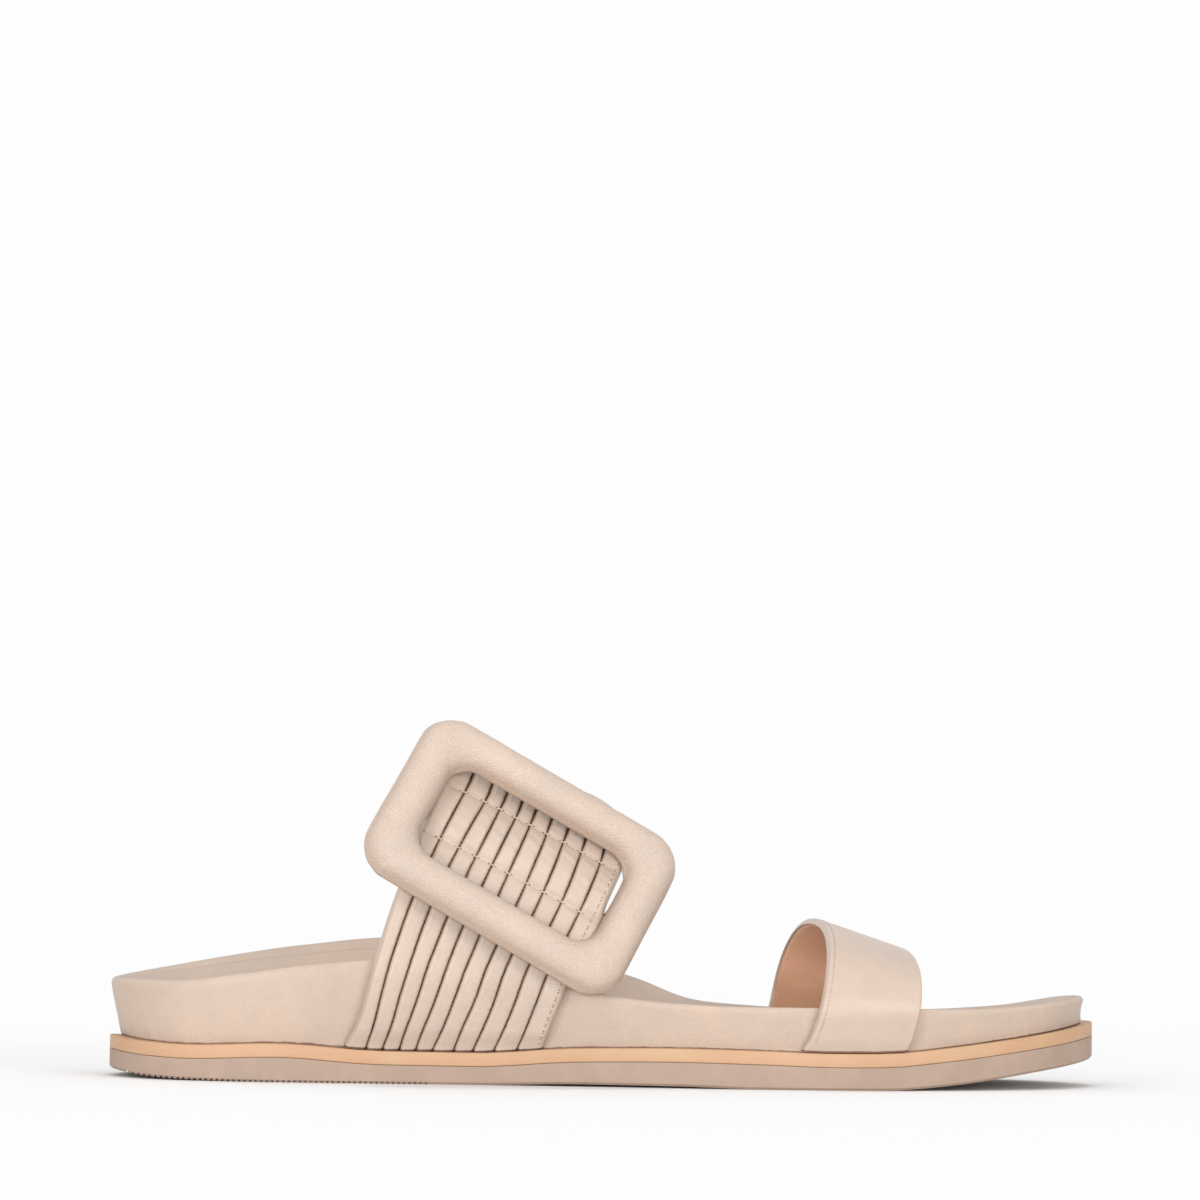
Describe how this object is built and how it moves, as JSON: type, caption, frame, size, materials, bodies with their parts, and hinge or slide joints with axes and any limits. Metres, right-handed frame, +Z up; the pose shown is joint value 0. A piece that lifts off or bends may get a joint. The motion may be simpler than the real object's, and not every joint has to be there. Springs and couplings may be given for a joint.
{
  "type": "slide sandal",
  "caption": "Right-foot slide sandal: ribbed instep strap under a large padded buckle frame, plain toe strap, contoured leather-wrapped footbed on a flat rubber sole.",
  "frame": {"origin": "on the floor under the middle of the sandal's bounding box", "axes": "+X towards the toe, +Y towards the inner side of the foot, +Z up"},
  "size_m": [0.256, 0.0954, 0.091],
  "materials": {
    "outsole": "matt taupe rubber",
    "midsole": "tan edge-dyed leather board",
    "footbed": "smooth nude leather wrap",
    "insole": "smooth nude leather sock",
    "toe_strap": "satin nude leather",
    "instep_strap": "ribbed nude leather",
    "buckle_frame": "pebbled nude leather over a padded frame",
    "buckle_bar": "bright steel wire"
  },
  "bodies": {
    "root": {"outsole": "outsole", "midsole": "midsole", "footbed": "footbed", "insole": "insole", "toe_strap": "toe_strap", "instep_strap": "instep_strap", "buckle_frame": "buckle_frame", "buckle_bar": "buckle_bar"}
  },
  "joints": []
}
